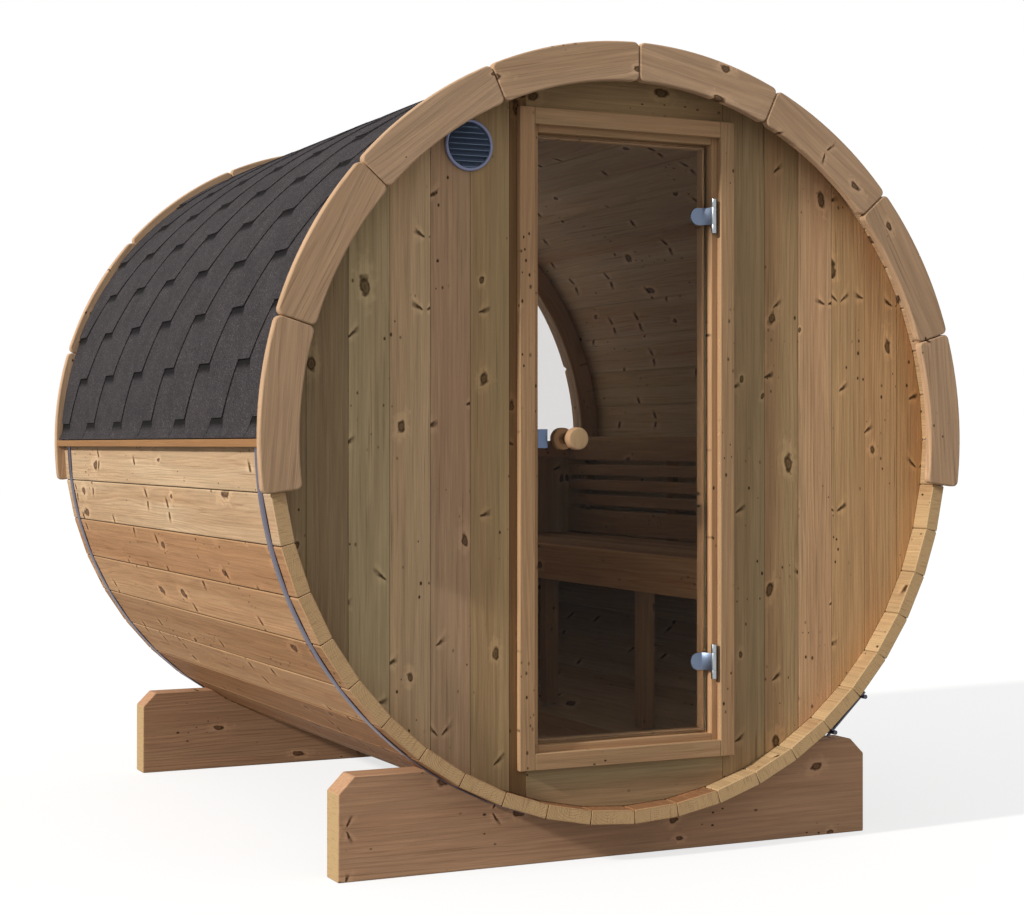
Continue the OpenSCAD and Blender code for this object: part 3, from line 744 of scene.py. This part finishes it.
# over the boards' own differing tones, the greyer boards at the left carry painted shade and the paler,
# warmer boards right of the door painted sunlight
addWall("front_wall_left", [walls["leftJoint"] - i * pitch for i in range(6)],
        ("greyWall", "greyWall", "oliveWall", "sandWall", "pinkWall", "brownWall", "darkWall"))
addWall("front_wall_right", [walls["firstJoint"] + i * pitch for i in range(5)],
        ("mossWall", "brownWall", "sunnyWall", "tanWall", "tanWall", "warmWall"))
addWall("front_wall_header", [], ("brownWall",), upright=False)
addWall("front_wall_threshold", [], upright=False)
addWall("rear_wall_lower", [(i + 0.5) * pitch for i in range(-9, 9)],
        ("wall", "pinkWall", "wall", "oliveWall", "brownWall", "wall", "pinkWall", "tanWall", "wall",
         "brownWall"))
print("end walls made")


windowFrame = {"round": 0.003, "wide": 0.068, "halfLong": 4.0, "seed": (0.3, 0.6, 0.2)}


def addWindowFrame():
    # the curved frame's grain follows its bend
    bm = solidOf("rear_window_frame")
    roundEdges(bm, windowFrame["round"])
    place, halfSize, seed = boardLayers(bm)
    low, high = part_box("rear_window_frame")
    outer, halfWide = high.x, windowFrame["wide"] / 2
    for vert in bm.verts:
        angle = math.atan2(vert.co.z - axisZ, vert.co.x)
        reach = math.hypot(vert.co.z - axisZ, vert.co.x)
        vert[place] = Vector((angle * outer, reach - outer + halfWide, vert.co.y - (low.y + high.y) / 2))
        vert[halfSize] = Vector((windowFrame["halfLong"], halfWide, (high.y - low.y) / 2))
        vert[seed] = Vector(windowFrame["seed"])
    keepPiece(bm, "rear_window_frame_wood", "cabin", "trim_wood", wood["casing"], "rear_window_frame")


addWindowFrame()


# Roof of hexagonal tab shingles

roof = {"exposure": 0.1467, "pitch": 0.336, "flat": 0.100, "thick": 0.0028, "rows": 11, "firstRow": 0.055,
        "firstShift": 0.053, "deck": 0.0030, "middle": 0.012, "shade": 0.032, "bendStep": 0.024, "gap": 0.003,
        "endGap": 0.001, "lap": 0.01, "starterLap": 0.02, "lift": 0.0012, "liftReach": 0.07,
        "eaveOut": 0.014, "eaveReach": 0.045, "rowSeed": 0.37, "ridgeHalf": 0.125, "ridgeStep": 0.170,
        "ridgeLap": 1.45, "ridgeUp": 2.1, "ridgeTilt": 0.9, "capSeed": 0.31, "firstCapSeed": 7.0,
        "rowBends": 12, "starterBends": 5, "ridgeBends": 2, "tiltShift": 9.0}
shingleFinish = makeShingles()
deckRadius = barrelRadius + roof["deck"]
bendRadius = barrelRadius + roof["middle"]
roofHalf = barrelHalf - roof["endGap"]


def shingleLayer(bm):
    # where each point lies on its flat sheet, for the granules
    return bm.verts.layers.float_vector.new("shingle")


def cutAcross(bm, step, count):
    # extra cuts up the slope, so that the sheet can bend
    for i in range(1, count + 1):
        bisect(bm, yAxis * step * i, yAxis)


def tabSheet(offset, top):
    # a flat row of tabs: x runs along the barrel, y up the slope from the tabs' lower edge
    rise, pitch, flat = roof["exposure"], roof["pitch"], roof["flat"]
    bm = bmesh.new()
    corners = [(-pitch / 2, rise), (-pitch / 2 + flat / 2, rise), (-flat / 2, 0), (flat / 2, 0),
               (pitch / 2 - flat / 2, rise), (pitch / 2, rise), (pitch / 2, top), (-pitch / 2, top)]
    face = bm.faces.new([bm.verts.new((x, y, 0)) for x, y in corners])
    count = int(2 * barrelHalf / pitch) + 3
    for i in range(1, count):
        made = bmesh.ops.duplicate(bm, geom=[face])
        moved = [g for g in made["geom"] if isinstance(g, bmesh.types.BMVert)]
        bmesh.ops.translate(bm, vec=(i * pitch, 0, 0), verts=moved)
    bmesh.ops.remove_doubles(bm, verts=bm.verts, dist=1e-5)
    bmesh.ops.translate(bm, vec=(offset - barrelHalf - pitch, 0, 0), verts=bm.verts)
    return bm


def plainSheet(length, top):
    bm = bmesh.new()
    bmesh.ops.create_grid(bm, x_segments=8, y_segments=1, size=0.5)
    bmesh.ops.translate(bm, vec=(0, 0.5, 0), verts=bm.verts)
    bmesh.ops.scale(bm, vec=(length, top, 1), verts=bm.verts)
    return bm


def bendRow(bm, side, start, lifted, chance, seed, pushed=0.0):
    # thickens the flat row and lays it round the barrel; pushed moves its pattern up the slope
    layer = shingleLayer(bm)
    tilt = {}
    for vert in bm.verts:
        key = round((vert.co.x + roof["tiltShift"]) / roof["pitch"])
        tilt.setdefault(key, chance.random())
        vert.co.z = roof["lift"] * tilt[key] * max(0.0, 1 - vert.co.y / roof["liftReach"])
    bmesh.ops.solidify(bm, geom=bm.faces[:], thickness=roof["thick"])
    slope = 2 * roof["exposure"]
    for vert in bm.verts:
        along, up, high = vert.co
        arc = start + up
        vert[layer] = Vector((along, up + pushed, seed))
        reach = deckRadius + lifted * (1 - min(up, slope) / slope) + high
        reach += roof["eaveOut"] * max(0.0, 1 - max(arc, 0.0) / roof["eaveReach"]) ** 2
        angle = arc / bendRadius
        vert.co = Vector((side * reach * math.cos(angle), along, axisZ + reach * math.sin(angle)))
    faceOut(bm)


def addRoof(side, name, node):
    chance = random.Random(name)
    whole = bmesh.new()
    shingleLayer(whole)
    rise, thick, gap, first = roof["exposure"], roof["thick"], roof["gap"], roof["firstRow"]
    ridge = bendRadius * math.pi / 2 - gap
    starter = plainSheet(2 * roofHalf, first + roof["starterLap"])
    cutAcross(starter, roof["bendStep"] / 2, roof["starterBends"])
    bendRow(starter, side, gap, thick, chance, 0.0, 2 * rise - first + gap)
    joinInto(whole, starter)
    for row in range(-1, roof["rows"]):
        start = first + row * rise
        bm = tabSheet(roof["firstShift"] - (row % 2) * roof["pitch"] / 2, 2 * rise + roof["lap"])
        bisect(bm, yAxis * min(2 * rise + roof["lap"], ridge - start), yAxis, True)
        bisect(bm, yAxis * (gap - start), -yAxis, True)
        bisect(bm, xAxis * roofHalf, xAxis, True)
        bisect(bm, xAxis * -roofHalf, -xAxis, True)
        cutAcross(bm, roof["bendStep"], roof["rowBends"])
        bendRow(bm, side, start, 2 * thick, chance, row * roof["rowSeed"])
        joinInto(whole, bm)
    keepPiece(whole, name, "cabin", "roof_shingles", shingleFinish, node)


def addRidge():
    # short caps over the ridge, each lapped by the next
    whole = bmesh.new()
    shingleLayer(whole)
    count = math.ceil(2 * roofHalf / roof["ridgeStep"])
    step = 2 * roofHalf / count
    long = roof["ridgeLap"] * step
    for i in range(count):
        bm = plainSheet(2 * roof["ridgeHalf"], min(long, 2 * roofHalf - i * step))
        cutAcross(bm, step / roof["ridgeBends"], roof["ridgeBends"])
        bmesh.ops.solidify(bm, geom=bm.faces[:], thickness=roof["thick"])
        layer = shingleLayer(bm)
        for vert in bm.verts:
            over, along, high = vert.co
            vert[layer] = Vector((over, along, roof["firstCapSeed"] + i * roof["capSeed"]))
            lifted = roof["ridgeUp"] + roof["ridgeTilt"] * (1 - along / long)
            reach = deckRadius + lifted * roof["thick"] + high
            angle = over / barrelRadius
            vert.co = Vector((reach * math.sin(angle), i * step + along - roofHalf,
                              axisZ + reach * math.cos(angle)))
        faceOut(bm)
        joinInto(whole, bm)
    keepPiece(whole, "ridge_caps", "cabin", "roof_shingles", shingleFinish)


addRoof(-1, "shingles_left", "roof_left")
addRoof(1, "shingles_right", "roof_right")
addRidge()
print("roof made")


metalEdge = {"fitting": 0.0008, "band": 0.0004, "smooth": 24.0}


def addMetal(node, material, slotName, body="cabin", width=metalEdge["fitting"]):
    bm = solidOf(node)
    for face in bm.faces:
        face.smooth = True
    roundEdges(bm, width)
    for edge in bm.edges:
        edge.smooth = edge.calc_face_angle(0.0) < math.radians(metalEdge["smooth"])
    return keepPiece(bm, node + "_metal", body, slotName, material, node)


addMetal("band_front", metal["band"], "band_steel", width=metalEdge["band"])
addMetal("band_rear", metal["band"], "band_steel", width=metalEdge["band"])
addMetal("band_tensioners", metal["rod"], "band_steel")
addMetal("hinge_leaves", metal["knuckle"], "fitting_steel")
clamps = addMetal("hinge_clamps", metal["clamp"], "fitting_steel", "door")
clamps.data.materials.append(metal["knuckle"])
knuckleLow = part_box("hinge_leaves")[0].x
for face in clamps.data.polygons:
    if face.center.x > knuckleLow:  # the clamp's own knuckle shines like the leaves
        face.material_index = 1
addMetal("latch_plate", metal["latch"], "fitting_steel", "door")


# Vent: a rolled rim and tilted louvres over a dark disc, painted shade of the hole behind them

vent = {"rim": 0.0085, "deep": 0.010, "rimFlat": 0.55, "louvres": 8, "tilt": 38.0, "slat": 0.0014,
        "slatWide": 0.95, "slatBack": 0.0052, "slatRound": 0.0004, "lip": 0.0011, "lipSides": 8, "steps": 64,
        "discBack": 0.0008, "discThick": 0.0005, "discLap": 0.002, "discSides": 48}


def spinProfile(bm, points, centre, steps):
    # turns an outline round the line that runs front to back through centre
    verts = [bm.verts.new(p) for p in points]
    edges = [bm.edges.new(pair) for pair in zip(verts, verts[1:])]
    bmesh.ops.spin(bm, geom=verts + edges, cent=centre, axis=yAxis, dvec=(0, 0, 0), angle=math.tau,
                   steps=steps, use_merge=True, use_duplicate=False)
    bmesh.ops.remove_doubles(bm, verts=bm.verts, dist=1e-6)
    faceOut(bm)
    for face in bm.faces:
        face.smooth = True


def turnVerts(bm, verts, degrees, axis):
    turn = Matrix.Rotation(math.radians(degrees), 3, axis)
    bmesh.ops.rotate(bm, cent=(0, 0, 0), matrix=turn, verts=verts)


def addVentRim(middle, radius, inner, back):
    rim, deep, flat = vent["rim"], vent["deep"], vent["rimFlat"]
    bm = bmesh.new()
    section = []
    for i in range(13):  # half a turn over the rolled edge
        turn = math.pi * i / 12
        section.append(Vector((middle.x + radius - rim / 2 + rim / 2 * math.cos(turn),
                               back - deep * flat - deep * (1 - flat) * math.sin(turn), middle.z)))
    section.append(Vector((middle.x + inner, back, middle.z)))
    section.append(Vector((middle.x + radius, back, middle.z)))
    section.append(section[0].copy())
    spinProfile(bm, section, Vector((middle.x, 0, middle.z)), vent["steps"])
    keepPiece(bm, "vent_rim", "cabin", "vent_metal", metal["ventRim"], "vent_front")


def addLouvres(middle, inner, back):
    # tilted slats, each with a folded lip along its lower edge; the slats' dark tint is painted shade
    slats, lips = bmesh.new(), bmesh.new()
    pitch = 2 * inner / vent["louvres"]
    wide = pitch * vent["slatWide"]
    lean = math.radians(vent["tilt"])
    for i in range(vent["louvres"]):
        height = -inner + (i + 0.5) * pitch
        chord = math.sqrt(max(inner ** 2 - (abs(height) + pitch * 0.25) ** 2, 1e-6))
        spot = Vector((middle.x, back - vent["slatBack"], middle.z + height))
        made = bmesh.ops.create_cube(slats, size=1.0)["verts"]
        bmesh.ops.scale(slats, vec=(2 * chord, vent["slat"], wide), verts=made)
        turnVerts(slats, made, -vent["tilt"], "X")
        bmesh.ops.translate(slats, vec=spot, verts=made)
        made = bmesh.ops.create_cone(lips, cap_ends=True, segments=vent["lipSides"], radius1=vent["lip"],
                                     radius2=vent["lip"], depth=2 * chord)["verts"]
        turnVerts(lips, made, 90, "Y")
        edge = Vector((0, math.sin(lean), math.cos(lean))) * wide / 2
        bmesh.ops.translate(lips, vec=spot - edge, verts=made)
    roundEdges(slats, vent["slatRound"])
    for face in lips.faces:
        face.smooth = len(face.verts) == 4
    keepPiece(slats, "vent_louvres", "cabin", "vent_metal", metal["ventShade"])
    keepPiece(lips, "vent_lips", "cabin", "vent_metal", metal["ventLip"])


def addShadeDisc(middle, inner, back):
    # a dark disc that paints the shade in the hole behind the louvres
    shadeDisc = bmesh.new()
    bmesh.ops.create_circle(shadeDisc, cap_ends=True, radius=inner + vent["discLap"],
                            segments=vent["discSides"])
    turnVerts(shadeDisc, shadeDisc.verts, 90, "X")
    bmesh.ops.translate(shadeDisc, vec=(middle.x, back - vent["discBack"], middle.z), verts=shadeDisc.verts)
    bmesh.ops.solidify(shadeDisc, geom=shadeDisc.faces[:], thickness=vent["discThick"])
    faceOut(shadeDisc)
    keepPiece(shadeDisc, "vent_shade_disc", "cabin", "vent_metal", metal["ventShade"])


def addVent():
    low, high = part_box("vent_front")
    middle = (low + high) / 2
    radius = (high.x - low.x) / 2
    inner = radius - vent["rim"]
    addVentRim(middle, radius, inner, high.y)
    addLouvres(middle, inner, high.y)
    addShadeDisc(middle, inner, high.y)


addVent()
print("metal parts made")


knob = {"foot": 0.017, "footRound": 0.0015, "neck": 0.0125, "swell": 0.0025, "footLong": 0.009,
        "headLong": 0.027, "round": 0.005, "steps": 48, "smooth": 50.0}


def quarterTurn(radius, height, start):
    # five steps of 18 degrees round an edge of the knob's head
    turns = [math.radians(start + 18 * i) for i in range(6)]
    return [(radius + knob["round"] * math.cos(t), height + knob["round"] * math.sin(t)) for t in turns]


def knobOutline(radius, long):
    # pairs of reach and height, from the glass to the tip
    foot, edge, step = knob["foot"], knob["footRound"], knob["footLong"] / 2
    neckLong = long - knob["headLong"] - step
    shape = [(0.0, 0.0), (foot, 0.0), (foot, edge), (foot - edge, 2 * edge)]
    for i in range(7):  # the waist
        swing = math.sin(math.pi * i / 6)
        shape.append((knob["neck"] + knob["swell"] * (1 - swing), step + i / 6 * neckLong))
    head = radius - knob["round"]
    shape += quarterTurn(head, long - knob["headLong"] + knob["round"], -90)
    shape += quarterTurn(head, long - knob["round"], 0)
    return shape + [(0.0, long)]


def addKnobs():
    low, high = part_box("door_knobs")
    paneLow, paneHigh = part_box("door_glass")
    middle = (low + high) / 2
    whole = bmesh.new()
    for start, tip in ((paneLow.y, low.y), (paneHigh.y, high.y)):
        way = 1 if tip > start else -1
        outline = knobOutline((high.x - low.x) / 2, abs(tip - start))
        bm = bmesh.new()
        points = [Vector((middle.x + r, start + way * h, middle.z)) for r, h in outline]
        spinProfile(bm, points, Vector((middle.x, 0, middle.z)), knob["steps"])
        joinInto(whole, bm)
    markBoards(whole, turnedAxes, "knobs")
    for edge in whole.edges:
        edge.smooth = edge.calc_face_angle(0.0) < math.radians(knob["smooth"])
    keepPiece(whole, "knobs_turned", "door", "trim_wood", wood["knob"], "door_knobs")


addKnobs()


def addPane(node, name, body, slotName, material):
    bm = solidOf(node)
    for face in bm.faces:
        face.material_index = 0 if abs(face.normal.y) > 0.9 else 1
    piece = keepPiece(bm, name, body, slotName, material, node)
    piece.data.materials.append(glassEdge)


addPane("door_glass", "door_pane", "door", "door_glass", doorGlass)
addPane("rear_window_glass", "rear_pane", "cabin", "window_glass", windowGlass)
print("knobs and glass made")


studio = {"floorSize": 80.0, "floorDrop": 0.0005, "floorTone": 0.30, "floorGlow": 0.72, "skyLight": 0.60,
          "sunStrength": 3.45, "sunSoft": 3.0, "sunColor": (1.0, 0.96, 0.90), "sunWay": (7.0, 1.0, -3.5),
          "sunPlace": (-6.0, -3.0, 5.0), "lens": 70.06, "sensor": 36.0, "shift": -0.0164,
          "cameraPlace": (-2.513, -5.597, 1.0843), "cameraTurn": (90.11, 0.0, -25.466)}


def seenShare(tree):
    # 1 for rays that carry the background to the eye: straight, in a reflection or through glass
    path = put(tree, "LightPath").outputs
    share = calc(tree, "MAXIMUM", path["Is Camera Ray"], path["Is Glossy Ray"])
    return calc(tree, "MAXIMUM", share, path["Is Transmission Ray"])


def addFloor():
    bm = bmesh.new()
    bmesh.ops.create_grid(bm, x_segments=8, y_segments=8, size=studio["floorSize"] / 2)
    bmesh.ops.translate(bm, vec=(0, 0, -studio["floorDrop"]), verts=bm.verts)
    floor = addObject("floor", meshOf(bm, "floor"))
    material, tree = newMaterial("paleFloor")[:2]
    tree.nodes.clear()
    tone = studio["floorTone"]
    matt = put(tree, "BsdfDiffuse", {"Color": (tone, tone, tone, 1)})
    strength = times(tree, seenShare(tree), studio["floorGlow"])
    glow = put(tree, "Emission", {"Color": (1, 1, 1, 1), "Strength": strength})
    both = put(tree, "AddShader")
    tree.links.new(matt.outputs[0], both.inputs[0])
    tree.links.new(glow.outputs[0], both.inputs[1])
    end = put(tree, "OutputMaterial")
    tree.links.new(both.outputs[0], end.inputs["Surface"])
    floor.data.materials.append(material)


def addSky():
    world = bpy.data.worlds.new("studio")
    bpy.context.scene.world = world
    world.use_nodes = True
    tree = world.node_tree
    sky = tree.nodes["Background"]
    sky.inputs["Color"].default_value = (1, 1, 1, 1)
    level = fit(tree, seenShare(tree), 1 - studio["skyLight"], studio["skyLight"])
    plug(tree, sky.inputs["Strength"], level)


def addSun():
    lamp = bpy.data.lights.new("sun", "SUN")
    lamp.energy = studio["sunStrength"]
    lamp.angle = math.radians(studio["sunSoft"])
    lamp.color = studio["sunColor"]
    sun = addObject("sun", lamp)
    sun.rotation_euler = Vector(studio["sunWay"]).to_track_quat("-Z", "Y").to_euler()
    sun.location = studio["sunPlace"]


def addCamera():
    lens = bpy.data.cameras.new("camera")
    lens.sensor_fit = "HORIZONTAL"
    lens.sensor_width = studio["sensor"]
    lens.lens = studio["lens"]
    lens.shift_y = studio["shift"]
    camera = addObject("camera", lens)
    camera.location = studio["cameraPlace"]
    camera.rotation_euler = [math.radians(turn) for turn in studio["cameraTurn"]]
    bpy.context.scene.camera = camera


addFloor()
addSky()
addSun()
addCamera()
bpy.context.scene.view_settings.view_transform = "Standard"
print("studio made")
